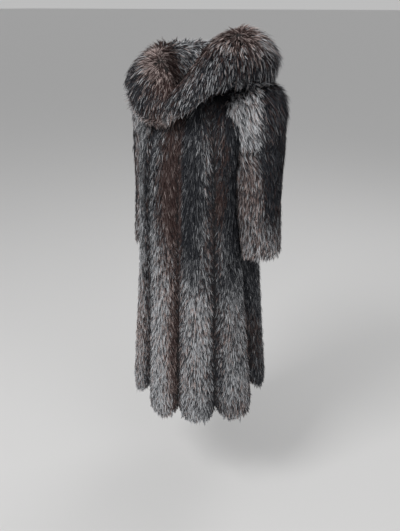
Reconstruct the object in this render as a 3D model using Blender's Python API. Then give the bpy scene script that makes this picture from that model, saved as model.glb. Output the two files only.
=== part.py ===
"""A full-length fur coat in the shape it has when worn, closed down the front.

Metres, +Z up. The front faces -Y and the wearer's left is +X. The origin is the middle of
the neck at the height of the collar seam. Angles round the body are measured from the
middle of the front, positive toward the wearer's left.
"""
import bpy
import numpy as np

# Driving sizes
SEAM_GAP = 0.0003       # air between two sewn pieces
SKIN = 0.006            # hide and flattened fur at a seam
COLLAR_WALL = 0.015     # the collar's hide with its underfur
SLEEVE_WALL = 0.012     # the sleeve's hide with its underfur
ARM_ROOM = 0.0045       # air between the body and the arm beside it
ARM_FADE = 0.07         # length over which the body swells out again under a cuff
CUFF_ROOM = 0.065       # how far under a cuff it starts to
ARM_BLEND = 0.006       # how softly the body gives way beside the arm
NO_ARM = 9.0            # reach of the body where no arm hangs beside it
FREE_RING = 2.0         # first ring of the sleeve that hangs beside the body
ARM_SAMPLES = 40
COLLAR_LIFT = 0.0035    # the collar's foot stands this far above the neck edge's middle

# The body's outer surface at its seams, a row for each height.
# square 2 is an ellipse and more is boxier; lobe is how far a strip swells out between seams.
SECTIONS = {
    "height":     (0.0, -.013, -.030, -.048, -.070, -.100, -.150, -.230, -.400, -.560, -.750, -.950, -1.160),
    "half_width": (.070, .083, .125, .155, .174, .182, .176, .162, .161, .170, .190, .215, .239),
    "front":      (.068, .078, .092, .104, .114, .126, .142, .156, .165, .168, .174, .184, .194),
    "back":       (.062, .072, .086, .100, .112, .122, .136, .148, .160, .172, .183, .190, .198),
    "square":     (2.0, 2.0, 2.0, 2.1, 2.2, 2.3, 2.5, 2.8, 3.0, 2.9, 2.6, 2.4, 2.3),
    "lobe":       (.001, .002, .003, .004, .006, .008, .010, .012, .013, .014, .017, .019, .019),
}

# One long strip a row: name, angle of its two seams, height of its lowest point at the hem,
# and how much higher its corners are.
STRIPS = (
    ("right_back_inner", -180.0, -148.0, -1.080, 0.045),
    ("right_back_outer", -148.0, -113.0, -1.075, 0.050),
    ("right_side", -113.0, -72.0, -1.065, 0.055),
    ("right_front_outer", -72.0, -32.0, -1.090, 0.050),
    ("right_front_inner", -32.0, 6.4, -1.130, 0.045),
    ("left_front_inner", 6.4, 44.0, -1.108, 0.036),
    ("left_front_outer", 44.0, 83.0, -1.100, 0.046),
    ("left_side", 83.0, 115.0, -1.040, 0.045),
    ("left_back_outer", 115.0, 148.0, -1.070, 0.050),
    ("left_back_inner", 148.0, 180.0, -1.080, 0.045),
)
STRIP_COLUMNS = 7
INNER_SWELL = 0.45      # share of a strip's swell that its hide side follows
HEM_CORNER = (2.4, 1.6)      # powers that round a strip's lower corners
FULL_SWELL = 20.0       # a strip at least this many degrees wide swells out fully
NECK_SHARES = (0, .10, .26, .46, .70)      # rows between the neck and the first height below
UPPER_HEIGHTS = (-0.085, -0.108, -0.132, -0.156, -0.185, -0.240)
LOWER_SHARES = (.12, .26, .40, .54, .68, .81, .91, .97, 1)  # rows on down to the hem
NECK_LINE = -0.013      # body's top edge at the sides and back
NECK_DROP = 0.050       # how much lower it is at the middle of the front
NECK_DROP_ANGLE = 34.0
SIDE_SEAMS = (60.0, 120.0)   # seams between these angles meet over the shoulder
SHOULDER_SEAM = 90.0
UNDER_ARM = (-0.156, -0.085)  # heights between which those seams run together
SIDE_TOP = 2                 # the upper height at which a side strip starts, under the arm

# Rings of the left sleeve from inside the shoulder to the cuff: middle, angle of the
# sleeve's run below level, and outer radii across the run and front to back.
LEFT_SLEEVE = {
    "x":      (.090, .140, .186, .203, .208, .209, .214, .223, .232),
    "y":      (.005, .005, .003, .000, -.002, -.003, -.004, -.006, -.010),
    "z":      (-.092, -.074, -.070, -.148, -.217, -.285, -.357, -.427, -.497),
    "fall":   (10., 25., 46., 70., 85., 88., 84., 84., 86.),
    "across": (.055, .085, .096, .080, .071, .068, .065, .062, .060),
    "depth":  (.068, .080, .081, .076, .074, .073, .071, .067, .063),
}
RIGHT_CUFF_DROP = 0.050  # the right arm hangs lower and a little further back
RIGHT_ARM_BACK = 0.042
RIGHT_ARM_IN = 0.013
RIGHT_SHOULDER_DROP = 0.012
ARM_SHIFT_RINGS = 3      # rings from the shoulder over which those shifts grow
SLEEVE_SIDES = 18
HEAD_RINGS = (0.0, 0.5, 1.0, 1.5, 2.0, 2.5, 3.0)
TUBE_RINGS = (3.0, 3.5, 4.0, 4.5, 5.0, 5.5, 6.0, 6.5, 7.0, 7.5, 8.0)
LIMIT_TOP = -0.100      # below this height the body keeps clear of the arm
CUT_ROOM = 0.0024       # air left where a sleeve head meets the faceted body
CUT_FOOT = -0.290       # foot of the cutter that trims the sleeve heads

# The collar's outer face, a row for each angle from the middle of the back to the front:
# top of the roll, its widest place and its lower edge, each as distance from the neck's
# middle and height.
LEFT_COLLAR = {
    "angle":   (180., 150., 120., 90., 72., 55., 40., 25., 10., -6.),
    "crest_r": (.100, .106, .118, .132, .135, .130, .120, .114, .112, .117),
    "crest_z": (.108, .122, .140, .151, .149, .138, .108, .070, .034, .000),
    "wide_r":  (.165, .182, .210, .231, .228, .212, .194, .181, .174, .171),
    "wide_z":  (.050, .064, .086, .102, .102, .086, .050, .008, -.022, -.046),
    "edge_r":  (.158, .174, .203, .224, .215, .198, .186, .179, .174, .172),
    "edge_z":  (-.050, -.034, -.004, .018, .028, .030, .006, -.034, -.064, -.082),
}
RIGHT_COLLAR = {
    "angle":   (180., 150., 120., 90., 70., 50., 35., 20., 6.),
    "crest_r": (.100, .106, .116, .126, .126, .122, .117, .112, .112),
    "crest_z": (.108, .108, .104, .100, .093, .084, .068, .042, .004),
    "wide_r":  (.165, .180, .202, .220, .220, .208, .192, .177, .166),
    "wide_z":  (.050, .050, .048, .044, .026, .006, -.014, -.030, -.042),
    "edge_r":  (.158, .172, .196, .213, .210, .200, .188, .176, .167),
    "edge_z":  (-.050, -.038, -.014, .004, -.026, -.060, -.082, -.088, -.080),
}
COLLAR_COLUMNS = 17
COLLAR_STATIONS = (0.0, 0.45, 1.0, 1.35, 1.7, 2.1, 2.55, 3.0)


def curve(positions, values, at):
    """A smooth run through the values, which keeps to straight lines where they are straight."""
    positions = np.asarray(positions, float)
    values = np.asarray(values, float)
    slopes = np.gradient(values, positions)
    at = np.clip(at, positions.min(), positions.max())
    i = np.clip(np.searchsorted(positions, at, side="right") - 1, 0, len(positions) - 2)
    span = positions[i + 1] - positions[i]
    t = (at - positions[i]) / span
    start = (1 + 2 * t) * (1 - t) ** 2 * values[i] + t * (1 - t) ** 2 * span * slopes[i]
    end = t * t * (3 - 2 * t) * values[i + 1] + t * t * (t - 1) * span * slopes[i + 1]
    return start + end


def section(column, height):
    rows = np.asarray(SECTIONS["height"])[::-1]
    return curve(rows, SECTIONS[column][::-1], height)


def sleeve_ring(column, place, side):
    """One column of the sleeve table, for the left (+1) or right (-1) sleeve."""
    values = np.array(LEFT_SLEEVE[column])
    down = np.linspace(0, 1, len(values)) ** 2
    shifted = np.clip(np.arange(len(values)) / ARM_SHIFT_RINGS, 0, 1)
    if column == "z" and side < 0:
        values = values - RIGHT_CUFF_DROP * down - RIGHT_SHOULDER_DROP
    if column == "y" and side < 0:
        values = values + RIGHT_ARM_BACK * shifted
    if column == "x" and side < 0:
        values = values - RIGHT_ARM_IN * shifted
    return curve(np.arange(len(values)), values, place)


def room_for_arm(angle, height):
    """How far from the middle the body may reach toward an arm that hangs beside it."""
    side = np.sign(np.sin(angle))
    side = np.where(side == 0, 1.0, side)
    reach = np.full(np.shape(angle), NO_ARM)
    for one in (1.0, -1.0):
        places = np.linspace(FREE_RING, len(LEFT_SLEEVE["z"]) - 1, ARM_SAMPLES)
        heights = sleeve_ring("z", places, one)
        place = np.interp(-height, -heights, places)
        middle_x = one * sleeve_ring("x", place, one)
        middle_y = sleeve_ring("y", place, one)
        radius = sleeve_ring("depth", place, one) + ARM_ROOM + section("lobe", height)
        starts = np.clip((LIMIT_TOP - height) / ARM_FADE, 0, 1)
        ends = np.clip(1 - (heights[-1] - CUFF_ROOM - height) / ARM_FADE, 0, 1)
        along = middle_x * np.sin(angle) - middle_y * np.cos(angle)
        hidden = along ** 2 - middle_x ** 2 - middle_y ** 2 + radius ** 2
        hit = along - np.sqrt(np.maximum(hidden, 0))
        hit = hit + (1 - starts * ends) * radius
        reach = np.where((side == one) & (hidden > 0) & (starts * ends > 0), hit, reach)
    return reach


def body_distance(angle, height):
    """Distance from the upright axis to the body's surface at its seams."""
    across = np.abs(np.sin(angle)) / section("half_width", height)
    depth = np.where(np.cos(angle) > 0, section("front", height), section("back", height))
    along = np.abs(np.cos(angle)) / depth
    square = section("square", height)
    free = (across ** square + along ** square) ** (-1 / square)
    reach = room_for_arm(angle, height)
    return -ARM_BLEND * np.logaddexp(-free / ARM_BLEND, -reach / ARM_BLEND)


def body_point(angle, height):
    distance = body_distance(angle, height)
    return np.stack([distance * np.sin(angle), -distance * np.cos(angle), height + 0 * distance], -1)


def body_outward(angle, height):
    """Unit direction square to the body's surface at its seams."""
    step_angle, step_height = 0.02, 0.006
    round_it = body_point(angle + step_angle, height) - body_point(angle - step_angle, height)
    top = np.minimum(height + step_height, SECTIONS["height"][0])
    upward = body_point(angle, top) - body_point(angle, height - step_height)
    outward = np.cross(round_it, upward)
    return outward / np.linalg.norm(outward, axis=-1, keepdims=True)


def neck_height(angle):
    return NECK_LINE - NECK_DROP * np.exp(-(np.degrees(angle) / NECK_DROP_ANGLE) ** 2)


def seam_angle(degrees, height):
    """A seam's angle at a height. Those under the arm meet above it on the shoulder."""
    if not SIDE_SEAMS[0] < abs(degrees) < SIDE_SEAMS[1]:
        return degrees + 0 * height
    t = np.clip((height - UNDER_ARM[0]) / (UNDER_ARM[1] - UNDER_ARM[0]), 0, 1)
    together = t * t * (3 - 2 * t)
    return degrees + (np.sign(degrees) * SHOULDER_SEAM - degrees) * together


def swell(angle, height, across):
    """How far a strip swells out between its seams, less where the strip is narrow."""
    width = np.degrees(angle[:, -1:] - angle[:, :1])
    bulge = np.sqrt(np.sin(np.pi * across).clip(0))
    return section("lobe", height) * bulge * np.clip(width / FULL_SWELL, 0, 1)


def strip_grid(first, last, lowest, rise):
    """Angle and height of each grid point of a strip, and how far across it the point is."""
    across = np.linspace(0, 1, STRIP_COLUMNS)
    rough = np.radians(first + (last - first) * across)
    from_middle = np.abs(2 * across - 1)
    hem = lowest + rise * (1 - (1 - from_middle ** HEM_CORNER[0]) ** (1 / HEM_CORNER[1]))
    under_arm = all(SIDE_SEAMS[0] < abs(seam) < SIDE_SEAMS[1] for seam in (first, last))
    top = neck_height(rough)
    share, low_share = np.array(NECK_SHARES)[:, None], np.array(LOWER_SHARES)[:, None]
    upper = np.array(UPPER_HEIGHTS)[:, None] + 0 * rough
    near_neck, lower = top + (upper[0] - top) * share, upper[-1] + (hem - upper[-1]) * low_share
    height = np.concatenate([near_neck, upper, lower])
    if under_arm:
        height = height[len(NECK_SHARES) + SIDE_TOP:]
    start, end = seam_angle(first, height), seam_angle(last, height)
    angle = np.radians(start + (end - start) * across)
    return angle, height, across[None, :] + 0 * height


def strip_surfaces(first, last, lowest, rise):
    """The fur side and the hide side of a strip, as grids of points."""
    angle, height, across = strip_grid(first, last, lowest, rise)
    base = body_point(angle, height)
    outward = body_outward(angle, height)
    lobe = swell(angle, height, across)
    sideways = np.stack([np.cos(angle), np.sin(angle), 0 * angle], -1)
    straight_in = outward - (outward * sideways).sum(-1, keepdims=True) * sideways
    outer = base + outward * lobe[..., None]
    inner = base - straight_in * SKIN + outward * lobe[..., None] * INNER_SWELL
    for grid in (outer, inner):
        grid[:, 0] += sideways[:, 0] * SEAM_GAP / 2
        grid[:, -1] -= sideways[:, -1] * SEAM_GAP / 2
    return outer, inner


def shell_faces(rows, columns, closed_round=False):
    """Faces of a wall whose outer and inner grids are stored one after the other."""
    inner = rows * columns
    last = columns if closed_round else columns - 1
    faces = []
    for r in range(rows - 1):
        for c in range(last):
            a, b = r * columns + c, r * columns + (c + 1) % columns
            d, e = a + columns, b + columns
            faces.append((a, d, e, b))
            faces.append((inner + a, inner + b, inner + e, inner + d))
    for c in range(last):
        a, b = c, (c + 1) % columns
        faces.append((a, b, inner + b, inner + a))
        a, b = (rows - 1) * columns + a, (rows - 1) * columns + b
        faces.append((b, a, inner + a, inner + b))
    if not closed_round:
        for r in range(rows - 1):
            a, b = r * columns, (r + 1) * columns
            faces.append((a, inner + a, inner + b, b))
            a, b = a + columns - 1, b + columns - 1
            faces.append((a, b, inner + b, inner + a))
    return faces


def colour_of(name, colour, rough=0.8):
    material = bpy.data.materials.new(name)
    material.use_nodes = True
    shader = material.node_tree.nodes["Principled BSDF"]
    shader.inputs["Base Color"].default_value = (*colour, 1)
    shader.inputs["Roughness"].default_value = rough
    return material


def add_mesh(name, points, faces, material, cutter=False):
    mesh = bpy.data.meshes.new(name)
    triangles = [(face[0], face[k], face[k + 1]) for face in faces for k in range(1, len(face) - 1)]
    mesh.from_pydata([tuple(p) for p in points], [], triangles)
    mesh.validate()
    mesh.materials.append(material)
    piece = bpy.data.objects.new(name, mesh)
    bpy.context.scene.collection.objects.link(piece)
    if cutter:
        piece.hide_render = True
        piece.display_type = "WIRE"
    return piece


def facing_out(points, faces):
    """The faces turned so that the closed shape faces outward, each split on the same corner."""
    volume = 0.0
    for face in faces:
        for k in range(1, len(face) - 1):
            volume += np.linalg.det([points[face[0]], points[face[k]], points[face[k + 1]]])
    return faces if volume > 0 else [(face[0], *face[:0:-1]) for face in faces]


def add_shell(name, outer, inner, material, closed_round=False):
    rows, columns = outer.shape[:2]
    points = np.concatenate([outer.reshape(-1, 3), inner.reshape(-1, 3)])
    faces = facing_out(points, shell_faces(rows, columns, closed_round))
    return add_mesh(name, points, faces, material)


def filled_body_rings():
    """Rings just outside the whole body's fur side, strip after strip, down to the hem."""
    top = neck_height(np.radians(SHOULDER_SEAM))
    near_neck = top + (UPPER_HEIGHTS[0] - top) * np.array(NECK_SHARES)
    heights = np.concatenate([near_neck, UPPER_HEIGHTS, [CUT_FOOT]])[:, None]
    parts = []
    for _, first, last, _, _ in STRIPS:
        across = np.linspace(0, 1, STRIP_COLUMNS)[None, :]
        start, end = seam_angle(first, heights), seam_angle(last, heights)
        angle = np.radians(start + (end - start) * across)
        height = heights + 0 * angle
        proud = swell(angle, height, across) + CUT_ROOM
        ring = body_point(angle, height) + body_outward(angle, height) * proud[..., None]
        parts.append(ring[:, :-1])
    return np.concatenate(parts, axis=1)


def add_filled(name, rings, material):
    """A closed cutter through rings of points, with a fan at each end."""
    rows, columns = rings.shape[:2]
    faces = []
    for r in range(rows - 1):
        for c in range(columns):
            a, b = r * columns + c, r * columns + (c + 1) % columns
            faces.append((a, b, b + columns, a + columns))
    points = np.concatenate([rings.reshape(-1, 3), rings[:1].mean(1), rings[-1:].mean(1)])
    for c in range(columns):
        b = (c + 1) % columns
        last = (rows - 1) * columns
        faces.append((b, c, rows * columns))
        faces.append((last + c, last + b, rows * columns + 1))
    return add_mesh(name, points, facing_out(points, faces), material, cutter=True)


def cut(piece, cutter):
    modifier = piece.modifiers.new(f"cut_by_{cutter.name}", "BOOLEAN")
    modifier.operation = "DIFFERENCE"
    modifier.solver = "EXACT"
    modifier.object = cutter


def sleeve_points(side, places, inset, shift=0.0):
    """Rings of a sleeve at the given places along its table, moved in by inset."""
    turn = np.linspace(0, 2 * np.pi, SLEEVE_SIDES, endpoint=False)
    rings = []
    for place in places:
        ring = {column: sleeve_ring(column, place, side) for column in LEFT_SLEEVE}
        fall = np.radians(ring["fall"])
        run = np.array([np.cos(fall), 0, -np.sin(fall)])
        over = np.array([np.sin(fall), 0, np.cos(fall)])
        forward = np.array([0, -1.0, 0])
        middle = np.array([ring["x"], ring["y"], ring["z"]]) + run * shift
        across = (ring["across"] - inset) * np.cos(turn)[:, None] * over
        depth = (ring["depth"] - inset) * np.sin(turn)[:, None] * forward
        rings.append((middle + across + depth) * (side, 1, 1))
    return np.array(rings)


def add_sleeve(side, name, material, body_cutter):
    """The sleeve head and the sleeve tube of one side. Returns the cutter for the armhole."""
    for part, places, shift in (("head", HEAD_RINGS, 0.0), ("tube", TUBE_RINGS, SEAM_GAP)):
        outer = sleeve_points(side, places, 0.0, shift)
        inner = sleeve_points(side, places, SLEEVE_WALL, shift)
        full_name = f"{name}_sleeve_head" if part == "head" else f"{name}_sleeve"
        piece = add_shell(full_name, outer, inner, material, closed_round=True)
        cut(piece, body_cutter)
    bore = sleeve_points(side, HEAD_RINGS, SLEEVE_WALL)
    return add_filled(f"{name}_armhole_cutter", bore, material)


def collar_row(table, angle_degrees):
    """Every column of a collar table at one angle."""
    order = np.argsort(table["angle"])
    angles = np.asarray(table["angle"])[order]
    return {key: curve(angles, np.asarray(table[key])[order], angle_degrees) for key in table}


def collar_surfaces(table, side):
    """Outer and inner grids of a collar half, from the back seam to its front end."""
    seam_turn = np.degrees(SEAM_GAP / table["crest_r"][0])
    angles = np.linspace(table["angle"][0] - seam_turn, table["angle"][-1] + seam_turn, COLLAR_COLUMNS)
    outer, inner = [], []
    for degrees in angles:
        radians = np.radians(degrees) * side
        spread = np.array([np.sin(radians), -np.cos(radians)])
        row = collar_row(table, degrees)
        base_height = neck_height(radians)
        base_r = body_distance(np.array(radians), np.array(base_height)) - SKIN / 2
        keys = np.array([
            (base_r, base_height + COLLAR_LIFT),
            (row["crest_r"], row["crest_z"]),
            (row["wide_r"], row["wide_z"]),
            (row["edge_r"], row["edge_z"]),
        ])
        line = np.stack([collar_line(keys, k) for k in COLLAR_STATIONS])
        along = np.gradient(line, axis=0)
        along /= np.linalg.norm(along, axis=1, keepdims=True)
        inward = np.stack([along[:, 1], -along[:, 0]], 1)
        back = line + inward * COLLAR_WALL
        outer.append(np.column_stack([line[:, :1] * spread, line[:, 1]]))
        inner.append(np.column_stack([back[:, :1] * spread, back[:, 1]]))
    return np.array(outer), np.array(inner)


def collar_line(keys, place):
    """A smooth line through the four key points of a collar section."""
    return np.array([curve(np.arange(4), keys[:, 0], place), curve(np.arange(4), keys[:, 1], place)])


def build():
    for thing in list(bpy.data.objects):
        bpy.data.objects.remove(thing)
    silver = colour_of("silver_fox_strip", (.16, .16, .17))
    dark = colour_of("dark_fox_strip", (.05, .05, .06))
    brown = colour_of("collar_fox", (.11, .09, .085))

    strips = {}
    for name, first, last, lowest, rise in STRIPS:
        outer, inner = strip_surfaces(first, last, lowest, rise)
        material = dark if "outer" in name else silver
        strips[name] = add_shell(name, outer, inner, material)
    filled = add_filled("body_cutter", filled_body_rings(), dark)
    for side, name in ((1, "left"), (-1, "right")):
        armhole = add_sleeve(side, name, silver, filled)
        for place in ("front_outer", "side", "back_outer"):
            cut(strips[f"{name}_{place}"], armhole)

    for side, name, table in ((1, "left", LEFT_COLLAR), (-1, "right", RIGHT_COLLAR)):
        outer, inner = collar_surfaces(table, side)
        add_shell(f"{name}_collar", outer, inner, brown)


build()
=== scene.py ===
import math
import bpy
import bmesh
import numpy as np
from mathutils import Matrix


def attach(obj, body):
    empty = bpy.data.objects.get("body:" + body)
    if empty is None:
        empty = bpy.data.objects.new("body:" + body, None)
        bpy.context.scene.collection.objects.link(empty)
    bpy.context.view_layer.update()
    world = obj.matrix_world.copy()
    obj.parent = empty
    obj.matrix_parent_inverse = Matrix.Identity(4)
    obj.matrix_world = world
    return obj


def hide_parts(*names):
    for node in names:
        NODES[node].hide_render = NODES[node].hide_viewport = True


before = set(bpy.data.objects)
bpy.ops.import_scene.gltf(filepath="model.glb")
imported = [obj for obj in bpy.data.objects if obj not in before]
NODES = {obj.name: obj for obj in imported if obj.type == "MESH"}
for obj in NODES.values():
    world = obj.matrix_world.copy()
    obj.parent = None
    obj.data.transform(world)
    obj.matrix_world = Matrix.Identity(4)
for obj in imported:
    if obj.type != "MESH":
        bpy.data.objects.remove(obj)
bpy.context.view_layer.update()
rng = np.random.default_rng(7)
print("nodes:", ", ".join(sorted(NODES)))

# %% [markdown]
# ## Camera
#
# The coat is seen from a little above collar height, from the wearer's left front, looking
# down at it. A camera could be aimed at the coat's middle with a constraint, but a plain
# place and two angles are easier to read and to change.
# %% Camera
CAMERA_PLACE = (0.89, -1.54, 0.22)
CAMERA_TURN = 30.0       # degrees round to the wearer's left
CAMERA_DOWN = 25.0       # degrees below level
LENS, FRAME_WIDE = 38.0, 36.0   # millimetres

camera_data = bpy.data.cameras.new("camera")
camera_data.lens = LENS
camera_data.sensor_width = FRAME_WIDE
camera = bpy.data.objects.new("camera", camera_data)
camera.location = CAMERA_PLACE
camera.rotation_euler = (math.radians(90 - CAMERA_DOWN), 0, math.radians(CAMERA_TURN))
bpy.context.scene.collection.objects.link(camera)
bpy.context.scene.camera = camera
print("camera", CAMERA_PLACE, "lens", LENS)

# %% [markdown]
# ## Floor and light
#
# A pale floor and large soft lamps give fur its best look: each silver hair catches a broad
# highlight, and the deep folds between the strips fall into shadow by themselves.
# %% Floor and light
FLOOR_HEIGHT = -1.50     # where a wearer's feet would stand
FLOOR_GREY = 0.66
WORLD_GREY = 0.62
WORLD_STRENGTH = 0.82
FLOOR_SIZE = 400         # metres, so its far edge is near the horizon
FLOOR_ROUGH = 0.9


def plain_material(name, colour, rough):
    """A single-colour finish, used for the studio only."""
    material = bpy.data.materials.new(name)
    material.use_nodes = True
    shader = material.node_tree.nodes["Principled BSDF"]
    shader.inputs["Base Color"].default_value = (*colour, 1)
    shader.inputs["Roughness"].default_value = rough
    return material


bpy.ops.mesh.primitive_plane_add(size=FLOOR_SIZE, location=(0, 0, FLOOR_HEIGHT))
floor = bpy.context.object
floor.name = "floor"
floor.data.materials.append(plain_material("floor_paint", (FLOOR_GREY,) * 3, FLOOR_ROUGH))


# name: place, height on the coat's axis it is turned to, size, power
LAMPS = {
    "key_lamp": ((-0.9, -2.6, 2.3), -0.4, 1.4, 88),
    "fill_lamp": ((2.6, -1.4, 1.4), -0.5, 2.2, 20),
    "back_lamp": ((0.6, 2.6, 2.2), -0.4, 2.0, 32),
}
LAMP_COLOUR = (1.0, 0.99, 0.98)


def add_lamp(name, place, aim, size, power):
    """A square soft lamp at a place, turned toward a point of the coat's upright axis."""
    data = bpy.data.lights.new(name, "AREA")
    data.size = size
    data.energy = power
    data.color = LAMP_COLOUR
    lamp = bpy.data.objects.new(name, data)
    away = np.array([0, 0, aim]) - np.array(place)
    tilt = math.atan2(math.hypot(away[0], away[1]), -away[2])
    turn = math.atan2(away[1], away[0]) - math.pi / 2
    lamp.rotation_euler = (tilt, 0, turn)
    lamp.location = place
    bpy.context.scene.collection.objects.link(lamp)


for name, (place, aim, size, power) in LAMPS.items():
    add_lamp(name, place, aim, size, power)

world = bpy.data.worlds.new("studio")
bpy.context.scene.world = world
world.use_nodes = True
sky = world.node_tree.nodes["Background"]
sky.inputs["Color"].default_value = (*(WORLD_GREY,) * 3, 1)
sky.inputs["Strength"].default_value = WORLD_STRENGTH
bpy.context.scene.view_settings.view_transform = "Standard"
print("floor at", FLOOR_HEIGHT, "lamps", len(LAMPS))

# %% [markdown]
# ## Reading the hide's shape
#
# Fur could be grown with a particle system, but hair strands don't travel to other programs,
# so the hairs here are real little blades of mesh. To place them we need points on the fur
# side of each piece, with the direction that faces out. This cell reads a node's mesh into
# arrays, joins the points that the file format has split, and smooths it.
# %% Smooth hides
CREASE_ANGLE = math.radians(50)
HIDE_LEVELS = 1
FILE_WELD = 0.00002      # the file splits points at sharp edges; closer than this they are one


def smooth_hide(name):
    """A copy of a node's mesh, welded and smoothed, with its rims kept sharp."""
    mesh = NODES[name].data.copy()
    mesh.name = f"{name}_hide"
    sheet = bmesh.new()
    sheet.from_mesh(mesh)
    bmesh.ops.remove_doubles(sheet, verts=sheet.verts, dist=FILE_WELD)
    crease = sheet.edges.layers.float.new("crease_edge")
    for edge in sheet.edges:
        if len(edge.link_faces) == 2 and edge.calc_face_angle(0) > CREASE_ANGLE:
            edge[crease] = 1.0
    sheet.to_mesh(mesh)
    sheet.free()
    hide = bpy.data.objects.new(f"{name}_hide", mesh)
    bpy.context.scene.collection.objects.link(hide)
    soften = hide.modifiers.new("soften", "SUBSURF")
    soften.levels = HIDE_LEVELS
    soften.render_levels = HIDE_LEVELS
    graph = bpy.context.evaluated_depsgraph_get()
    smooth = bpy.data.meshes.new_from_object(hide.evaluated_get(graph))
    hide.modifiers.clear()
    hide.data = smooth
    smooth.name = f"{name}_hide"
    smooth.shade_smooth()
    return hide


hides = {name: smooth_hide(name) for name in sorted(NODES)}
print("hide faces:", sum(len(hide.data.polygons) for hide in hides.values()))

# %% [markdown]
# ## Which side is fur
#
# Each piece is a wall with a fur side, a hide side and cut edges. A face belongs to the fur
# side when it looks away from what the piece wraps round: the coat's upright axis for a long
# strip, the arm for a sleeve, the hollow of the roll for the collar.
# %% Fur side
CHEST = np.array([0.0, 0.0, -0.16])   # what the shoulders wrap round
HEAD_INSET = 0.03                     # how far into the sleeve head its middle lies
FUR_SIDE = 0.30                       # least cosine between a face and its outward direction
RIM_TILT = 0.75                       # a sleeve tube's faces flatter than this are its rims
WELD = 0.00005                        # corners closer than this share a normal
LINE_MARKS = 24                       # points along a piece's middle line
ARM_NEAR = 0.03                       # height over which a tube's middle is averaged
ROLL_NEAR = 9.0                       # degrees over which the collar roll's middle is averaged


def mesh_arrays(mesh):
    """Corner points of a mesh's triangles, as an (n, 3, 3) array."""
    mesh.calc_loop_triangles()
    points = np.empty(len(mesh.vertices) * 3, np.float32)
    mesh.vertices.foreach_get("co", points)
    corners = np.empty(len(mesh.loop_triangles) * 3, np.int32)
    mesh.loop_triangles.foreach_get("vertices", corners)
    return points.reshape(-1, 3)[corners.reshape(-1, 3)].astype(float)


def unit(vectors):
    """The same directions, each one long."""
    return vectors / np.maximum(np.linalg.norm(vectors, axis=-1, keepdims=True), 1e-9)


def middle_line(points, keys, at, width):
    """The mean of the points whose key is near each asked one, along a piece."""
    marks = np.linspace(keys.min(), keys.max(), LINE_MARKS)
    means = []
    for mark in marks:
        weight = np.exp(-((keys - mark) / width) ** 2)
        means.append((points * weight[:, None]).sum(0) / weight.sum())
    means = np.array(means)
    return np.stack([np.interp(at, marks, means[:, k]) for k in range(3)], 1)


def angle_round(points):
    """Angle round the coat in degrees: 0 at the front, 90 at the wearer's left."""
    return np.degrees(np.arctan2(points[:, 0], -points[:, 1]))


def wrapped_point(name, at, all_points):
    """The point that a piece wraps round, for each given point of it."""
    low, high = all_points.min(0), all_points.max(0)
    if "collar" in name:
        side = np.abs(angle_round(at))
        return middle_line(all_points, np.abs(angle_round(all_points)), side, ROLL_NEAR)
    if "head" in name:
        armpit = (low + high) / 2
        armpit[0] = min(low[0], high[0], key=abs) + math.copysign(HEAD_INSET, armpit[0])
        armpit[2] = low[2] + HEAD_INSET
        return np.broadcast_to(armpit, at.shape)
    if "sleeve" in name:
        return middle_line(all_points, all_points[:, 2], at[:, 2], ARM_NEAR)
    level = np.minimum(at[:, 2], CHEST[2])
    return np.stack([0 * level, 0 * level, level], 1)


def fur_faces(name, corners):
    """Which triangles are on the fur side, and every triangle's area."""
    middle = corners.mean(1)
    flat = np.cross(corners[:, 1] - corners[:, 0], corners[:, 2] - corners[:, 0])
    away = unit(middle - wrapped_point(name, middle, corners.reshape(-1, 3)))
    facing = (unit(flat) * away).sum(1) > FUR_SIDE
    if name.endswith("sleeve"):
        facing &= np.abs(unit(flat)[:, 2]) < RIM_TILT
    return facing, np.linalg.norm(flat, axis=1) / 2


def fur_normals(corners):
    """Corner normals made from the fur side alone, so that hair at a rim doesn't stand up."""
    flat = np.cross(corners[:, 1] - corners[:, 0], corners[:, 2] - corners[:, 0])
    keys = np.round(corners.reshape(-1, 3) / WELD).astype(np.int64)
    _, spot = np.unique(keys, axis=0, return_inverse=True)
    spot = spot.ravel()
    total = np.zeros((spot.max() + 1, 3))
    np.add.at(total, spot, np.repeat(flat, 3, axis=0))
    return unit(total)[spot].reshape(corners.shape)


sides = {}
for name, hide in hides.items():
    corners = mesh_arrays(hide.data)
    facing, areas = fur_faces(name, corners)
    sides[name] = (corners[facing], fur_normals(corners[facing]), areas[facing])
    print(f"{name}: fur side {areas[facing].sum():.3f} m2")

# %% [markdown]
# ## Points for the locks
#
# Fox hair lies in small locks, a few hairs that share a tip. So the points chosen here are
# lock roots, spread evenly over the fur side by area. A fixed seed gives the same coat each time.
# %% Lock roots
def lock_roots(name, per_square_metre):
    """Root points and outward directions, spread by area over a piece's fur side."""
    corners, normals, areas = sides[name]
    count = int(areas.sum() * per_square_metre)
    steps = (np.arange(count) + rng.random(count)) / count * areas.sum()
    face = np.searchsorted(np.cumsum(areas), steps).clip(0, len(areas) - 1)
    first = np.sqrt(rng.random(count))
    second = rng.random(count)
    weights = np.stack([1 - first, first * (1 - second), first * second], 1)[..., None]
    return (corners[face] * weights).sum(1), unit((normals[face] * weights).sum(1))


print(f"fur side in all: {sum(areas.sum() for _, _, areas in sides.values()):.2f} m2")

# %% [markdown]
# ## Where a point lies on its strip
#
# The markings of a fox run along its back, so a strip's colour depends on how far across the
# strip a hair grows and how high. Each strip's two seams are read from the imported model.
# %% Across a strip
STRIP_LEVELS = 26        # heights at which a strip's seams are read
LEVEL_NEAR = 0.045       # how near a level a point must be to count there


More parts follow.
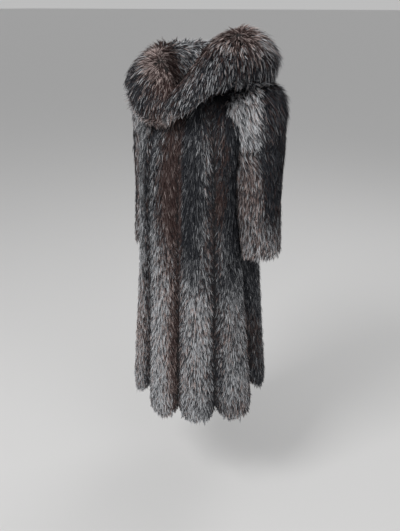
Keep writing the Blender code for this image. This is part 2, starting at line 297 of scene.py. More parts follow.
def across_strip(name, points):
    """0 at the strip's right-hand seam, 1 at the other, at each point's own height."""
    corners, _, _ = sides[name]
    edge = corners.reshape(-1, 3)
    angles = angle_round(edge)
    levels = np.linspace(edge[:, 2].min(), edge[:, 2].max(), STRIP_LEVELS)
    low, high = [], []
    for level in levels:
        near = np.abs(edge[:, 2] - level) < LEVEL_NEAR
        low.append(angles[near].min())
        high.append(angles[near].max())
    first = np.interp(points[:, 2], levels, low)
    last = np.interp(points[:, 2], levels, high)
    return ((angle_round(points) - first) / np.maximum(last - first, 1)).clip(0, 1)


def blob(value, middle, reach):
    """1 at the middle, falling softly to 0 beyond the reach."""
    return np.exp(-((value - middle) / reach) ** 2)


def rise(value, start, end):
    """Smoothly 0 at the start and 1 at the end, whichever way round they are."""
    share = ((value - start) / (end - start)).clip(0, 1)
    return share * share * (3 - 2 * share)


def spot(value, amount, middle, reach):
    """The amount at the middle, falling softly to 0 beyond the reach."""
    return amount * blob(value, middle, reach)


for name in ("left_front_inner", "left_front_outer"):
    across = across_strip(name, sides[name][0].mean(1))
    print(f"{name}: across runs from {across.min():.2f} to {across.max():.2f}")

# %% [markdown]
# ## Uneven patches
#
# No pelt is even. A few slow waves laid over each other at odd angles give soft lighter and
# darker patches, a hand's width across, that never repeat.
# %% Mottle
WAVE_COUNT = 9
WAVE_RATE = [26, 26, 15]   # radians for each metre, slower up and down the coat
WAVES = rng.normal(size=(WAVE_COUNT, 3)) * WAVE_RATE
WAVE_STARTS = rng.random(WAVE_COUNT) * 2 * np.pi


def mottle(points):
    """A soft uneven value about 0, mostly within 1 either way."""
    return np.sin(points @ WAVES.T + WAVE_STARTS).sum(1) / math.sqrt(WAVE_COUNT)


print("one wave is about", round(2 * math.pi / WAVE_RATE[0], 2), "m long")

# %% [markdown]
# ## The fox's markings on the long strips
#
# Silver fox is blue-black down the spine and shoulders, with silver-banded hairs that get
# denser toward the rump, so every strip is dark above and silver below. The table gives one
# row a strip, and the patches after it are the uneven spots that make it look like real hide.
# %% Strip markings
# name: spine across, spine width, height where silver starts and is full, silver below,
# silver above, brown at the two seams
STRIP_MARKS = {
    "right_back_inner":  (0.80, 0.30, -0.36, -0.78, 0.88, 0.18, 0.35, 0.20),
    "right_back_outer":  (0.50, 0.32, -0.38, -0.80, 0.82, 0.20, 0.30, 0.40),
    "right_side":        (0.55, 0.30, -0.38, -0.78, 0.90, 0.34, 0.40, 0.30),
    "right_front_outer": (0.30, 0.42, -0.30, -0.70, 1.16, 0.74, 0.45, 0.40),
    "right_front_inner": (0.12, 0.12, -0.40, -0.70, 1.10, 0.34, 0.30, 0.85),
    "left_front_inner":  (0.40, 0.20, -0.38, -0.70, 0.86, 0.20, 0.75, 0.45),
    "left_front_outer":  (0.62, 0.36, -0.38, -0.72, 0.82, 0.08, 0.45, 0.50),
    "left_side":         (0.45, 0.40, -0.50, -0.90, 0.36, 0.10, 0.35, 0.35),
    "left_back_outer":   (0.50, 0.32, -0.40, -0.78, 0.82, 0.18, 0.35, 0.30),
    "left_back_inner":   (0.20, 0.30, -0.40, -0.80, 0.88, 0.18, 0.20, 0.35),
}
# strip, across, height, reach across, reach in height, more silver, more brown
PATCHES = (
    ("left_front_inner", 0.92, -0.170, 0.26, 0.070, 0.50, 0.00),
    ("left_front_outer", 0.06, -0.190, 0.16, 0.090, 0.45, 0.10),
    ("left_front_outer", 0.12, -0.300, 0.22, 0.060, -0.30, 0.90),
    ("left_front_inner", 0.85, -0.400, 0.30, 0.055, 0.45, 0.10),
    ("left_front_outer", 0.16, -0.450, 0.20, 0.060, 0.45, 0.05),
    ("left_front_outer", 0.30, -0.130, 0.14, 0.100, 0.00, 0.70),
    ("left_front_outer", 0.95, -0.850, 0.14, 0.160, -0.55, 0.80),
    ("left_front_inner", 0.06, -0.330, 0.14, 0.240, -0.10, 1.00),
    ("left_front_inner", 0.45, -0.330, 0.22, 0.160, -0.14, -0.40),
    ("right_front_inner", 0.30, -0.440, 0.16, 0.090, 0.40, 0.00),
    ("right_front_inner", 0.72, -0.280, 0.26, 0.170, -0.24, 1.00),
    ("right_front_inner", 0.88, -0.850, 0.20, 0.260, -0.66, 0.95),
    ("right_front_inner", 0.15, -0.240, 0.12, 0.120, 0.20, 0.20),
    ("right_front_outer", 0.55, -0.800, 0.40, 0.200, 0.05, 0.60),
    ("right_front_outer", 0.85, -0.350, 0.15, 0.300, -0.30, 0.20),
    ("left_side", 0.30, -0.780, 0.30, 0.120, -0.10, 0.55),
    ("left_back_outer", 0.25, -0.620, 0.25, 0.100, 0.25, 0.10),
    ("right_back_outer", 0.70, -0.420, 0.25, 0.100, 0.30, 0.30),
    ("right_back_inner", 0.30, -0.600, 0.30, 0.090, 0.20, 0.40),
    ("left_back_inner", 0.75, -0.380, 0.25, 0.110, 0.28, 0.20),
)
SEAM_PAINTED_SHADE, SEAM_SHADE_REACH = 0.94, 0.19     # painted shade in the groove beside a seam: how much darker the hair is there, and how far
SPINE_DARK, SPINE_FADE = 0.16, 0.06    # silver the spine takes away, and how much less below
SPINE_NOT_BROWN = 0.8                  # brown the spine takes away above
BROWN_FADE = 0.45                      # how much less brown the strips are below
SILVER_MOTTLE, BROWN_MOTTLE = 0.09, 0.12


def strip_colours(name, points):
    """How silver and how brown the hair is at each point of a long strip, with painted shade by its
    seams.
    """
    across = across_strip(name, points)
    height = points[:, 2]
    spine, width, start, full, below, above, brown_low, brown_high = STRIP_MARKS[name]
    lower = rise(height, start, full)
    silver = above + (below - above) * lower
    on_spine = blob(across, spine, width)
    silver = silver - (SPINE_DARK - SPINE_FADE * lower) * on_spine + SILVER_MOTTLE * mottle(points)
    brown = brown_low * (1 - across) ** 2 + brown_high * across ** 2
    brown = brown * (1 - BROWN_FADE * lower) - SPINE_NOT_BROWN * on_spine * (1 - lower)
    for strip, at, level, wide, tall, more_silver, more_brown in PATCHES:
        if strip == name:
            patch = blob(across, at, wide) * blob(height, level, tall)
            silver = silver + more_silver * patch
            brown = brown + more_brown * patch
    brown = brown + BROWN_MOTTLE * mottle(points[:, ::-1])
    # painted shade: the hair beside each seam is darkened where the groove between two ribs lies in
    # shade
    seam_shade = blob(across, 0, SEAM_SHADE_REACH) + blob(across, 1, SEAM_SHADE_REACH)
    silver = silver.clip(0) * (1 - SEAM_PAINTED_SHADE * seam_shade.clip(0, 1))
    return silver, brown, across


def report_colours(name, colours):
    """Prints how silver a piece is on the whole."""
    silver, _, _ = colours(name, sides[name][0].mean(1))
    print(f"{name}: mean silver {silver.clip(0, 1).mean():.2f}")


for name in STRIP_MARKS:
    report_colours(name, strip_colours)

# %% [markdown]
# ## The markings on the sleeves
#
# A sleeve is one pelt wrapped round the arm: a silver flank at the front, the blue-black spine
# on the outside, and even salt-and-pepper toward the cuff. The head above it is a second pelt
# laid crosswise, and the join between them is painted as a dark line of shade.
# %% Sleeve markings
DARK_STARTS, DARK_ENDS = (26, 48), (190, 130)   # degrees round the arm of the dark outer side
TUBE_DARK, CUFF_KEEPS = 1.25, 0.9     # how dark that side is, and how little at the cuff
CUFF_SPAN = (0.50, 0.12)              # share of the tube's height where the cuff's silver starts
CUFF_SILVER = 0.12
FLANK_SILVER, HEAD_SILVER = 0.62, 0.96
TUBE_MOTTLE = 0.06
# amount, where it is strongest and how far it reaches: over the height, or round the arm
# the two join entries are painted shade: less silver where the head's hair overlaps the tube
TUBE_DIM, TUBE_JOIN_SHADE, HEAD_JOIN_SHADE = (0.10, 0.55, 0.20), (0.55, 1.0, 0.05), (0.60, 0.02, 0.12)
TUBE_INSIDE, HEAD_INSIDE = (0.30, -75, 24), (0.20, -70, 24)
TUBE_BROWN, HEAD_BROWN = 0.40, 0.15
WARM_PATCH, WARM_FRONT = (0.35, 0.62, 0.22), (5, 35)
DARK_NOT_BROWN = 0.3


def turn_round_arm(name, points):
    """Degrees round the arm: 0 at the front, 90 on the outside."""
    side = 1 if name.startswith("left") else -1
    corners, _, _ = sides[name]
    middle = arm_middle(name, points)
    away = points - middle
    return np.degrees(np.arctan2(side * away[:, 0], -away[:, 1]))


def arm_middle(name, points):
    """The middle of the arm at each point's height."""
    side = "left" if name.startswith("left") else "right"
    tube = sides[f"{side}_sleeve"][0].reshape(-1, 3)
    level = np.minimum(points[:, 2], tube[:, 2].max() - ARM_NEAR)
    return middle_line(tube, tube[:, 2], level, ARM_NEAR)


def sleeve_colours(name, points):
    """How silver and how brown the hair is at each point of a sleeve, with painted shade at the
    join.
    """
    turn = turn_round_arm(name, points)
    low, high = sides[name][0][..., 2].min(), sides[name][0][..., 2].max()
    share = (points[:, 2] - low) / (high - low)
    outside = rise(turn, *DARK_STARTS) * rise(turn, *DARK_ENDS)
    centre = np.full(len(points), 0.5)
    if name.endswith("head"):
        # painted shade: the head's lowest hair is darkened at its join with the tube
        silver = HEAD_SILVER - outside - spot(turn, *HEAD_INSIDE) - spot(share, *HEAD_JOIN_SHADE)
        return silver, np.full(len(points), HEAD_BROWN), centre
    cuff = rise(share, *CUFF_SPAN)
    flank = FLANK_SILVER - spot(share, *TUBE_DIM) - spot(turn, *TUBE_INSIDE)
    silver = flank * (1 - TUBE_DARK * outside * (1 - CUFF_KEEPS * cuff))
    # painted shade: the tube's top hair is darkened at its join with the head
    silver = silver + TUBE_MOTTLE * mottle(points) + CUFF_SILVER * cuff - spot(share, *TUBE_JOIN_SHADE)
    brown = TUBE_BROWN + spot(share, *WARM_PATCH) * blob(turn, *WARM_FRONT)
    return silver, brown - DARK_NOT_BROWN * outside * (1 - cuff), centre


for name in ("left_sleeve", "left_sleeve_head", "right_sleeve", "right_sleeve_head"):
    report_colours(name, sleeve_colours)

# %% [markdown]
# ## The markings on the collar
#
# Each half of the collar is one pelt wound round a whorl, the point on its crest from which
# the hair lies outward. The hair is brown near the whorl, then pale, then black, with long
# silver tips along the lower edge.
# %% Collar markings
EDGE_TALL = 0.055        # height of the silver-tipped edge
EDGE_STEP, EDGE_NEAR = 12, 14          # degrees between, and about, the places where it is read
BACK_FROM = (-0.01, 0.05)              # y over which the front's markings give way to the back's
NECK_FROM = (0.165, 0.125)             # distance from the coat's axis over which it turns brown
COLLAR_SILVER, EDGE_SILVER, BACK_SILVER = 0.18, 0.55, 0.30
COLLAR_BROWN, EDGE_BROWN, NECK_BROWN = 0.12, 0.40, 0.70
COLLAR_MOTTLE = 0.15
# amount, distance from the whorl and reach
PALE_RING, DARK_RING, BROWN_HEART = (0.42, 0.048, 0.018), (0.26, 0.085, 0.022), (1.10, 0.0, 0.055)
# the right half alone: its inner slope, its pale heart and its dark outer end
INNER_SLOPE, INNER_BROWN, INNER_DARK = (-0.035, 0.050), 0.50, 0.16
PALE_HEART, OUTER_END, OUTER_DARK = (0.22, 0.02, 0.040), (-0.12, -0.16), 0.22
# the left half alone: a pale patch on its outer crest, placed across and in height
CREST_ACROSS, CREST_HEIGHT = (0.20, 0.215, 0.040), (0.100, 0.050)
WHORLS = {
    "left_collar": np.array([0.150, -0.052, 0.124]),
    "right_collar": np.array([-0.072, -0.092, 0.078]),
}


def from_axis(points):
    """Distance from the coat's upright axis."""
    return np.hypot(points[:, 0], points[:, 1])


def collar_colours(name, points):
    """How silver and how brown the hair is at each point of a collar half."""
    from_whorl = np.linalg.norm(points - WHORLS[name], axis=1)
    edge = collar_edge(name, points)
    back = rise(points[:, 1], *BACK_FROM)
    neck = rise(from_axis(points), *NECK_FROM)
    face = (1 - back) * (1 - edge)
    silver = COLLAR_SILVER + spot(from_whorl, *PALE_RING) + EDGE_SILVER * edge + BACK_SILVER * back
    silver = silver - spot(from_whorl, *DARK_RING) * face + COLLAR_MOTTLE * mottle(points)
    brown = COLLAR_BROWN + spot(from_whorl, *BROWN_HEART)
    brown = brown + (EDGE_BROWN * edge + NECK_BROWN * neck) * (1 - back)
    if name == "right_collar":
        inner = blob(points[:, 0], *INNER_SLOPE) * (1 - back)
        brown = brown + INNER_BROWN * inner
        silver = silver + spot(from_whorl, *PALE_HEART) - INNER_DARK * inner * (1 - edge)
        silver = silver - OUTER_DARK * rise(points[:, 0], *OUTER_END) * face
    else:
        silver = silver + spot(points[:, 0], *CREST_ACROSS) * blob(points[:, 2], *CREST_HEIGHT)
    return silver, brown, np.full(len(points), 0.5)


def collar_edge(name, points):
    """1 at the collar's lower edge and 0 a little above it, at each angle round the neck."""
    edge = sides[name][0].reshape(-1, 3)
    angles, at = angle_round(edge) % 360, angle_round(points) % 360
    marks = np.arange(0, 361, EDGE_STEP)
    lowest = [edge[np.abs(angles - mark) < EDGE_NEAR, 2].min(initial=np.inf) for mark in marks]
    known = np.isfinite(lowest)
    low = np.interp(at, marks[known], np.array(lowest)[known])
    return rise(points[:, 2], low + EDGE_TALL, low)


def hair_colours(name, points):
    """Silver amount, brown amount and place across the piece, for points of any piece."""
    if "collar" in name:
        return collar_colours(name, points)
    if "sleeve" in name:
        return sleeve_colours(name, points)
    return strip_colours(name, points)


for name in WHORLS:
    report_colours(name, hair_colours)

# %% [markdown]
# ## Which way the hair lies
#
# Fur is combed down the garment. On the strips it also splays a little from the middle of each
# pelt toward the seams, which is what makes the soft ribs. On the collar it lies away from
# the whorl, and farther out it falls with gravity.
# %% Combing
SPLAY = 0.34             # sideways lean at a strip's seam, for each unit down
COLLAR_FALL = (0.02, 0.075)            # distance from the whorl over which gravity takes over
WHORL_PULL, WHORL_LOSS = 1.15, 0.55    # how strongly hair lies away from the whorl
FALL_DOWN, FALL_OUT = 0.9, 0.35        # and, farther out, down and away from the neck
HEAD_SWEEP = 0.55        # sideways lie on a sleeve head, outward over the shoulder
TUBE_SWEEP = 0.0024
ARM_STEP = 0.05          # how far down the arm the next middle is read for its direction


def flatten_on(directions, normals):
    """A direction laid onto the surface and made one long."""
    along = directions - normals * (directions * normals).sum(1, keepdims=True)
    return unit(along)


def combed(name, points, normals, across):
    """The direction along the surface in which each hair lies."""
    down = np.zeros_like(points)
    down[:, 2] = -1
    if "collar" in name:
        away = points - WHORLS[name]
        fall = rise(np.linalg.norm(away, axis=1), *COLLAR_FALL)[:, None]
        outward = np.stack([points[:, 0], points[:, 1], 0 * points[:, 2]], 1)
        direction = unit(away) * (WHORL_PULL - WHORL_LOSS * fall)
        direction = direction + (down * FALL_DOWN + unit(outward) * FALL_OUT) * fall
        return flatten_on(direction, normals)
    if "sleeve" in name:
        side = 1 if name.startswith("left") else -1
        if name.endswith("head"):
            return flatten_on(down + [side * HEAD_SWEEP, 0, 0], normals)
        middle = arm_middle(name, points)
        below = arm_middle(name, points - [0, 0, ARM_STEP])
        return flatten_on(unit(below - middle) + [side * TUBE_SWEEP, 0, 0], normals)
    turned = np.radians(angle_round(points))
    sideways = np.stack([np.cos(turned), np.sin(turned), 0 * turned], 1)
    lean = SPLAY * (across - 0.5) * 2
    return flatten_on(down + sideways * lean[:, None], normals)


print("hair beside a seam leans", round(math.degrees(math.atan(SPLAY))), "degrees sideways")

# %% [markdown]
# ## One guard hair
#
# A real guard hair is far thinner than anything we can afford, so each blade stands for a few
# hairs. It is a slim kite of four corners: a root, two corners where it is widest and bends,
# and a tip. It leaves the hide at a slant and lies over toward the tip, and the blades of a
# lock lean to a shared tip. Curves would look rounder but cost ten times the faces.
# %% Blade shapes
HAIRS_PER_LOCK = 5
LOCK_SPREAD = 0.0032     # how far a lock's hairs stand from its root
LOCK_CLOSE = 0.45        # how much of that spread is left at the tips
TIP_WANDER = 0.0012      # how far each tip strays from the lock's shared one
ROOT_DIP = 0.003         # roots start this far inside the pile
STEEP, FLAT = 27.0, 5.0  # degrees off the hide at the root and at the tip
BEND_AT = 0.46           # share of the length where a blade bends
ROLL = 22.0              # degrees by which blades tip off the surface


def steps_in_lock(normals, along):
    """Small random steps over the surface, as vectors."""
    sideways = unit(np.cross(normals, along))
    one, two = rng.normal(size=(2, len(normals), 1))
    return sideways * one + along * two


def blades(roots, normals, along, length, width, lift, tip_shift):
    """Four corners a blade, (n, 4, 3): the root, two at the bend and the tip."""
    sideways = unit(np.cross(normals, along))
    roll = np.radians(rng.normal(0, ROLL, len(roots)))[:, None]
    flat_side = sideways * np.cos(roll) + normals * np.sin(roll)
    steep = np.radians(STEEP * lift)[:, None]
    low = np.radians(FLAT * lift)[:, None]
    size, half = length[:, None], width[:, None] / 2
    start = roots - normals * ROOT_DIP
    bend = start + size * BEND_AT * (along * np.cos(steep) + normals * np.sin(steep))
    bend = bend + tip_shift * BEND_AT
    tip = bend + size * (1 - BEND_AT) * (along * np.cos(low) + normals * np.sin(low))
    tip = tip + tip_shift * (1 - BEND_AT)
    return np.stack([start, bend - flat_side * half, bend + flat_side * half, tip], 1)


print("hairs in a lock:", HAIRS_PER_LOCK)

# %% [markdown]
# ## Longer and shorter hair
#
# Each kind of piece has its own hair: the collar's is longest and deepest. It is never even,
# though. It is short right beside a seam, so the seam reads as a groove, and at the hem and
# the cuffs, and it stands up at the collar's crest and over the shoulder.
# %% Trimming
# kind: locks for each square metre, length, length spread, lift, blade width, least gleam
FUR = {
    "strip":  (40000, 0.026, 0.18, 1.0, 0.0019, 0.12),
    "sleeve": (41000, 0.026, 0.18, 1.0, 0.0019, 0.12),
    "collar": (48000, 0.034, 0.22, 1.2, 0.0021, 0.52),
}
RIM_TALL, RIM_FULL = 0.06, 0.02        # heights above a rim where the fur starts and ends to shorten
BESIDE_SEAM = 0.13       # share of a strip's width over which the fur dips to its seam
SEAM_SHORT, SEAM_FLAT, RIB_LIFT = 0.42, 0.75, 1.15
HEM_SHORT, CUFF_SHORT = 0.25, 0.30
HEAD_TOP, HEAD_LONG, HEAD_LIFT = (-0.10, -0.04), 0.25, 0.60
COLLAR_LIFT = 0.75
# where each place on the collar starts and is full: forward, from the axis, or in height
COLLAR_FRONT, COLLAR_NECK, COLLAR_OUTER = (-0.02, -0.12), (0.135, 0.105), (0.17, 0.22)
COLLAR_CREST, WHORL_REACH = (0.02, 0.11), 0.035
# what is added at a place on the collar: to the length, to the lift
COLLAR_TRIM = {
    "front": (-0.25, 0.0),
    "neck": (-0.30, -0.30),
    "outer edge": (0.10, 0.0),
    "whorl": (-0.25, 0.35),
    "crest": (0.0, 0.45),
}


def kind_of(name):
    """Which row of the fur table a piece uses."""
    return "collar" if "collar" in name else "sleeve" if "sleeve" in name else "strip"


def near_rim(name, points):
    """1 at the hem or cuff and 0 a little above it."""
    low = sides[name][0][..., 2].min()
    return rise(points[:, 2], low + RIM_TALL, low + RIM_FULL)


def collar_places(name, points):
    """How far each point of the collar is at each place that the trim table names."""
    axis_away = from_axis(points)
    return {
        "front": rise(points[:, 1], *COLLAR_FRONT),
        "neck": rise(axis_away, *COLLAR_NECK),
        "outer edge": rise(axis_away, *COLLAR_OUTER) * collar_edge(name, points),
        "whorl": blob(np.linalg.norm(points - WHORLS[name], axis=1), 0, WHORL_REACH),
        "crest": rise(points[:, 2], *COLLAR_CREST),
    }


def trimmed(name, points, across):
    """Length and lift of the hair at each point, as shares of the kind's own."""
    one = np.ones(len(points))
    if kind_of(name) == "strip":
        dip = (blob(across, 0, BESIDE_SEAM) + blob(across, 1, BESIDE_SEAM)).clip(0, 1)
        shorter = one - SEAM_SHORT * dip - HEM_SHORT * near_rim(name, points)
        return shorter, RIB_LIFT - SEAM_FLAT * dip
    if name.endswith("head"):
        top = rise(points[:, 2], *HEAD_TOP)
        return one + HEAD_LONG * top, one + HEAD_LIFT * top
    if kind_of(name) == "sleeve":
        return one - CUFF_SHORT * near_rim(name, points), one
    length, lift = one, COLLAR_LIFT * one
    for place, share in collar_places(name, points).items():
        longer, higher = COLLAR_TRIM[place]
        length = length + longer * share
        lift = lift + higher * share
    return length, lift


print("hair lengths:", ", ".join(f"{kind} {row[1]:.3f} m" for kind, row in FUR.items()))

# %% [markdown]
# ## How unlike each other the hairs are
#
# Whole locks differ, and so do the hairs of one lock. Every hair is either bright or dark, and
# the more silver the place is, the more of them are bright. That gives the salt-and-pepper
# look, which one smooth colour over the coat could never give.
# %% Grow fur
LOCK_MOOD = 0.16         # how much locks differ in silver
HAIR_MOOD, MOOD_LEAST = 0.14, 0.3      # how much bright hairs differ in gleam, and in dark places
BRIGHT_LEAST = 0.18      # share of bright hairs where there is no silver
BRIGHT_MORE = 0.48       # what full silver adds to that share
FULL_GLEAM = 0.96        # silver in a bright hair where the fur is full silver
DULL = 0.012             # least silver in a dark hair
DUSKY = 0.09             # silver in a dark hair among silver ones
STRAY = 0.13             # sideways wander of a lock
LOCK_LENGTH = (0.6, 1.4)               # least and most share of the kind's length in a lock
# how much single hairs differ, and the least and most allowed
LENGTH_VARIES, LIFT_VARIES, WIDTH_VARIES = (0.14, 0.6, 1.3), (0.18, 0.4, 1.6), (0.20, 0.5, 1.5)


def varied(count, spread, least, most):
    """Random shares about 1."""
    return rng.normal(1, spread, count).clip(least, most)


def grow(name):
    """Blade corners and colour coordinates for one piece's guard hairs."""
    density, length, spread, lift, width, gleam = FUR[kind_of(name)]
    roots, normals = lock_roots(name, density)
    silver, brown, across = hair_colours(name, roots)
    along = combed(name, roots, normals, across)
    locks = len(roots)
    along = unit(along + np.cross(normals, along) * rng.normal(0, STRAY, (locks, 1)))
    shorter, higher = trimmed(name, roots, across)
    lock_length = length * shorter * np.exp(rng.normal(0, spread, locks)).clip(*LOCK_LENGTH)
    lock_silver = silver + rng.normal(0, LOCK_MOOD, locks)
    each = np.repeat(np.arange(locks), HAIRS_PER_LOCK)
    count = len(each)
    step = steps_in_lock(normals[each], along[each]) * LOCK_SPREAD
    shift = -step * (1 - LOCK_CLOSE) + rng.normal(0, TIP_WANDER, (count, 3))
    hair_length = lock_length[each] * varied(count, *LENGTH_VARIES)
    hair_lift = lift * higher[each] * varied(count, *LIFT_VARIES)
    hair_width = width * varied(count, *WIDTH_VARIES)
    corners = blades(roots[each] + step, normals[each], along[each], hair_length, hair_width,
                     hair_lift, shift)
    tone = lock_silver[each].clip(0, 1)
    bright = rng.random(count) < BRIGHT_LEAST + BRIGHT_MORE * tone
    mood = HAIR_MOOD * (MOOD_LEAST + tone) * rng.normal(size=count)
    shine = gleam + (FULL_GLEAM - gleam) * tone + mood
    dark = DULL * (1 + 2 * rng.random(count)) + DUSKY * tone
    is_brown = rng.random(count) < brown[each]
    return corners, np.where(bright, shine, dark), is_brown


print("bright hairs:", BRIGHT_LEAST, "of all in the dark, up to", BRIGHT_LEAST + BRIGHT_MORE)

# %% [markdown]
# ## A blade's colour
#
# Fox guard hair is dark at the root and pale toward the tip, or dark all along. One material
# can hold all of it, if each blade's own coordinates say how silver it is (across) and how far
# along it we are (up). There are two bands of them, neutral hair below and brown above.
# %% Hair material
U_MARGIN, U_HALF = 0.03, 0.008         # clear edge and half a blade's width, in its coordinates
BAND_EDGE = 0.02         # keeps a blade's coordinates off the line between the two bands
HAIR_ROUGH, HAIR_SHINE = 0.60, 0.06
NODE_ROW = 500           # how far apart the bands' nodes stand in the editor
BANDS = {
    # name: stops of (share along the hair, colour), for the darkest and then the most silver hair
    "neutral": (
        ((0.0, (.004, .004, .005)), (0.45, (.006, .007, .010)), (1.0, (.013, .015, .023))),
        ((0.0, (.012, .011, .012)), (0.42, (.420, .435, .460)), (1.0, (.900, .910, .930))),
    ),
    "brown": (
        ((0.0, (.007, .004, .004)), (0.45, (.026, .014, .013)), (1.0, (.066, .041, .038))),
        ((0.0, (.016, .011, .010)), (0.42, (.350, .270, .255)), (1.0, (.740, .640, .610))),
    ),
}


def ramp_node(tree, stops, place):
    """A colour ramp with the given stops."""
    node = tree.nodes.new("ShaderNodeValToRGB")
    node.location = place
    ramp = node.color_ramp
    while len(ramp.elements) < len(stops):
        ramp.elements.new(0.5)
    for element, (position, colour) in zip(ramp.elements, stops):
        element.position = position
        element.color = (*colour, 1)
    return node


def mix_colours(tree, factor, first, second, place):
    """Mixes two colour sockets by a value socket."""
    node = tree.nodes.new("ShaderNodeMix")
    node.data_type = "RGBA"
    node.location = place
    tree.links.new(factor, node.inputs["Factor"])
    tree.links.new(first, node.inputs[6])
    tree.links.new(second, node.inputs[7])
    return node.outputs[2]


def math_node(tree, operation, value, second=None):
    """A maths node's result, from a socket and, where it has one, a fixed number."""
    node = tree.nodes.new("ShaderNodeMath")
    node.operation = operation
    if second is not None:
        node.inputs[1].default_value = second
    tree.links.new(value, node.inputs[0])
    return node.outputs[0]


def new_finish(name, rough):
    """An empty finish with its node tree and shader."""
    material = bpy.data.materials.new(name)
    material.use_nodes = True
    shader = material.node_tree.nodes["Principled BSDF"]
    shader.inputs["Roughness"].default_value = rough
    return material, material.node_tree, shader


def hair_material(name):
    """The guard hairs' finish, read from each blade's own coordinates."""
    material, tree, shader = new_finish(name, HAIR_ROUGH)
    shader.inputs["Specular IOR Level"].default_value = HAIR_SHINE
    coordinates = tree.nodes.new("ShaderNodeUVMap")
    coordinates.uv_map = "OFBake"
    split = tree.nodes.new("ShaderNodeSeparateXYZ")
    tree.links.new(coordinates.outputs["UV"], split.inputs[0])
    up = split.outputs["Y"]
    silver = tree.nodes.new("ShaderNodeMapRange")
    silver.inputs["From Min"].default_value = U_MARGIN
    silver.inputs["From Max"].default_value = 1 - U_MARGIN
    tree.links.new(split.outputs["X"], silver.inputs["Value"])
    along = math_node(tree, "FRACT", math_node(tree, "MULTIPLY", up, len(BANDS)))
    is_brown = math_node(tree, "GREATER_THAN", up, 1 / len(BANDS))
    colours = []
    for row, (dark_stops, silver_stops) in enumerate(BANDS.values()):
        dark = ramp_node(tree, dark_stops, (-700, 300 - NODE_ROW * row))
        pale = ramp_node(tree, silver_stops, (-700, 60 - NODE_ROW * row))
        tree.links.new(along, dark.inputs[0])
        tree.links.new(along, pale.inputs[0])
        colours.append(mix_colours(tree, silver.outputs[0], dark.outputs[0], pale.outputs[0],
                                   (-400, 150 - NODE_ROW * row)))
    shade = mix_colours(tree, is_brown, colours[0], colours[1], (-180, 0))
    tree.links.new(shade, shader.inputs["Base Color"])
    return material


guard_hair = hair_material("guard_hair")
print("hair bands:", ", ".join(BANDS))

# %% [markdown]
# ## Building the fur mesh
#
# A mesh of many thousand blades is built fastest from flat arrays. Each blade is a triangle
# from root to bend and another from bend to tip.
# %% Fur mesh
BLADE_CORNERS = 4
KITE = np.array([0, 2, 1, 1, 2, 3])    # the two triangles' corners


def fur_mesh(name, corners, silver, is_brown):
    """A mesh object of blades, with the colour coordinates on it."""
    count = len(corners)
    mesh = bpy.data.meshes.new(name)
    mesh.vertices.add(count * BLADE_CORNERS)
    mesh.vertices.foreach_set("co", corners.astype(np.float32).ravel())
    loops = (np.arange(count)[:, None] * BLADE_CORNERS + KITE).ravel()
    mesh.loops.add(len(loops))
    mesh.loops.foreach_set("vertex_index", loops.astype(np.int32))
    mesh.polygons.add(count * 2)
    starts = np.arange(count * 2) * 3
    mesh.polygons.foreach_set("loop_start", starts.astype(np.int32))
    mesh.update(calc_edges=True)
    place = silver.clip(0, 1) * (1 - 2 * U_MARGIN) + U_MARGIN
    band = np.where(is_brown, 0.5, 0.0)
    share = np.array([0, BEND_AT, BEND_AT, 1.0])
    upward = band[:, None] + BAND_EDGE / 2 + share[None] * (0.5 - BAND_EDGE)
    across = place[:, None] + np.array([0, -1, 1, 0])[None] * U_HALF
    corner_uv = np.stack([across, upward], 2)[:, KITE]
    mesh.uv_layers.new(name="OFBake")
    mesh.uv_layers["OFBake"].data.foreach_set("uv", corner_uv.astype(np.float32).ravel())
    mesh.materials.append(guard_hair)
    mesh.validate()
    fur = bpy.data.objects.new(name, mesh)
    bpy.context.scene.collection.objects.link(fur)
    return fur


furs = {}
for name in sorted(NODES):
    corners, silver, is_brown = grow(name)
    furs[name] = fur_mesh(f"{name}_fur", corners, silver, is_brown)
    print(f"{name}: {len(corners)} guard hairs")
corners_in_all = sum(len(fur.data.vertices) for fur in furs.values())
print("guard hairs in all:", corners_in_all // BLADE_CORNERS)

# %% [markdown]
# ## The hide and its underfur
#
# Below the guard hairs a fox has short dense wool, which is dark where the hair is dark and
# smoky where it is silver. It shows only in the partings, so it's a soft mottled colour on the
# hide itself. The inside of the hide is plain dark suede.
# %% Hide materials
SUEDE_DARK, SUEDE_PALE = (0.0338, 0.027, 0.024), (0.0585, 0.0468, 0.0416)
SUEDE_ROUGH, SUEDE_SCALE, SUEDE_DETAIL = 0.92, 22.0, 3.0
WOOL_ROUGH, WOOL_SCALE, WOOL_LONG = 0.95, 150.0, 0.25   # the last stretches its spots downward
# where on the noise the dark ends and the pale is full
SUEDE_STOPS, WOOL_STOPS = (0.35, 0.65), (0.30, 0.72)
# kind: dark and pale colour of the wool
WOOL = {
    "strip": ((.005, .005, .006), (.026, .025, .027)),
    "sleeve": ((.006, .006, .007), (.030, .029, .031)),
    "collar": ((.005, .004, .004), (.022, .018, .017)),
}


def mottled(tree, noise, stops, colours):
    """Colours the shader between two tones by a noise."""
    tone = ramp_node(tree, tuple(zip(stops, colours)), (-400, 0))
    tree.links.new(noise.outputs["Fac"], tone.inputs[0])
    tree.links.new(tone.outputs[0], tree.nodes["Principled BSDF"].inputs["Base Color"])


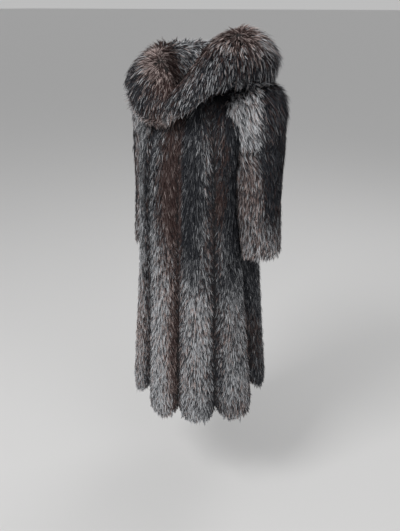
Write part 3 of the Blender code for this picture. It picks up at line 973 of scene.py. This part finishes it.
def suede_material():
    """The plain inside of the hides, a little uneven in tone."""
    material, tree, _ = new_finish("hide_suede", SUEDE_ROUGH)
    noise = tree.nodes.new("ShaderNodeTexNoise")
    noise.inputs["Scale"].default_value = SUEDE_SCALE
    noise.inputs["Detail"].default_value = SUEDE_DETAIL
    mottled(tree, noise, SUEDE_STOPS, (SUEDE_DARK, SUEDE_PALE))
    return material


def underfur_material(kind):
    """The short wool under the guard hairs, mottled along the lie of the fur."""
    material, tree, _ = new_finish(f"{kind}_underfur", WOOL_ROUGH)
    place = tree.nodes.new("ShaderNodeTexCoord")
    stretch = tree.nodes.new("ShaderNodeMapping")
    stretch.inputs["Scale"].default_value = (1.0, 1.0, WOOL_LONG)
    tree.links.new(place.outputs["Object"], stretch.inputs["Vector"])
    noise = tree.nodes.new("ShaderNodeTexNoise")
    noise.inputs["Scale"].default_value = WOOL_SCALE
    tree.links.new(stretch.outputs[0], noise.inputs["Vector"])
    mottled(tree, noise, WOOL_STOPS, WOOL[kind])
    return material


UNDERFUR = {kind: underfur_material(kind) for kind in WOOL}
suede = suede_material()
print("hide finishes:", len(UNDERFUR) + 1)

# %% [markdown]
# ## Dressing the hides
#
# Each hide stands for its imported node, so the node itself isn't shown. Its fur is a piece of
# its own that goes with it.
# %% Hides
OUTSIDE, INSIDE = 0, 1   # which of a hide's finishes is which


def dress_hide(name):
    """Puts the underfur outside and the suede inside."""
    hide = hides[name]
    hide.data.materials.clear()
    hide.data.materials.append(UNDERFUR[kind_of(name)])
    hide.data.materials.append(suede)
    corners = mesh_arrays(hide.data)
    facing, _ = fur_faces(name, corners)
    owners = np.empty(len(hide.data.loop_triangles), np.int32)
    hide.data.loop_triangles.foreach_get("polygon_index", owners)
    finish = np.full(len(hide.data.polygons), INSIDE, np.int32)
    finish[owners[facing]] = OUTSIDE
    hide.data.polygons.foreach_set("material_index", finish)
    hide.data.update()


for name in sorted(NODES):
    hide, fur = hides[name], furs[name]
    dress_hide(name)
    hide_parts(name)
    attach(hide, "root")
    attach(fur, "root")

# %% [markdown]
# ## Finish
#
# Last, the box round everything is written beside the imported box, so the two can be compared.
# The looks may stand past the imported solids only by the depth of the guard hairs.
# %% Finish
print("scene done")
